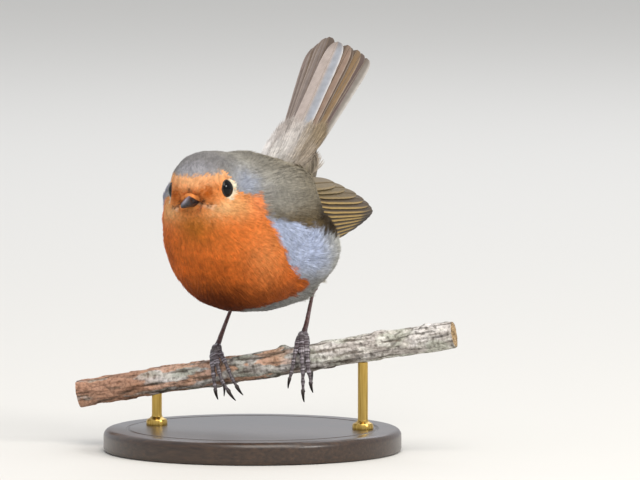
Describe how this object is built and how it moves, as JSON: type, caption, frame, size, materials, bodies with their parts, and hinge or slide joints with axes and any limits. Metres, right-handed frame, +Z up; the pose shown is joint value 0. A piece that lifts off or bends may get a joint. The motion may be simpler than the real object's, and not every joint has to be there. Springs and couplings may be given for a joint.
{
  "type": "european robin",
  "caption": "Life-size still model of a European robin gripping a cut branch, wings drooped and tail cocked, held over a round base by short rods.",
  "frame": {"origin": "centre of the display base's underside", "axes": "+Z up, the bird's trunk faces -Y, and the bird's left side is +X"},
  "size_m": [0.1156, 0.1071, 0.1227],
  "materials": {
    "plumage": "matte",
    "flight_feathers": "satin",
    "eye": "gloss",
    "horn": "satin",
    "leg_skin": "satin",
    "bark": "rough",
    "stand_wood": "satin",
    "stand_brass": "polished"
  },
  "bodies": {
    "root": {"head": "plumage", "neck": "plumage", "trunk": "plumage", "rump": "plumage", "tail": "flight_feathers", "bill_upper": "horn", "bill_lower": "horn", "perch": "bark", "stand_base": "stand_wood", "stand_rod_left": "stand_brass", "stand_rod_right": "stand_brass", "eye_left": "eye", "wing_left_coverts": "plumage", "wing_left_flight": "flight_feathers", "thigh_left": "plumage", "tarsus_left": "leg_skin", "eye_right": "eye", "wing_right_coverts": "plumage", "wing_right_flight": "flight_feathers", "thigh_right": "plumage", "tarsus_right": "leg_skin", "toe_left_inner": "leg_skin", "claw_left_inner": "horn", "toe_left_middle": "leg_skin", "claw_left_middle": "horn", "toe_left_outer": "leg_skin", "claw_left_outer": "horn", "toe_left_hind": "leg_skin", "claw_left_hind": "horn", "toe_right_inner": "leg_skin", "claw_right_inner": "horn", "toe_right_middle": "leg_skin", "claw_right_middle": "horn", "toe_right_outer": "leg_skin", "claw_right_outer": "horn", "toe_right_hind": "leg_skin", "claw_right_hind": "horn"}
  },
  "joints": []
}
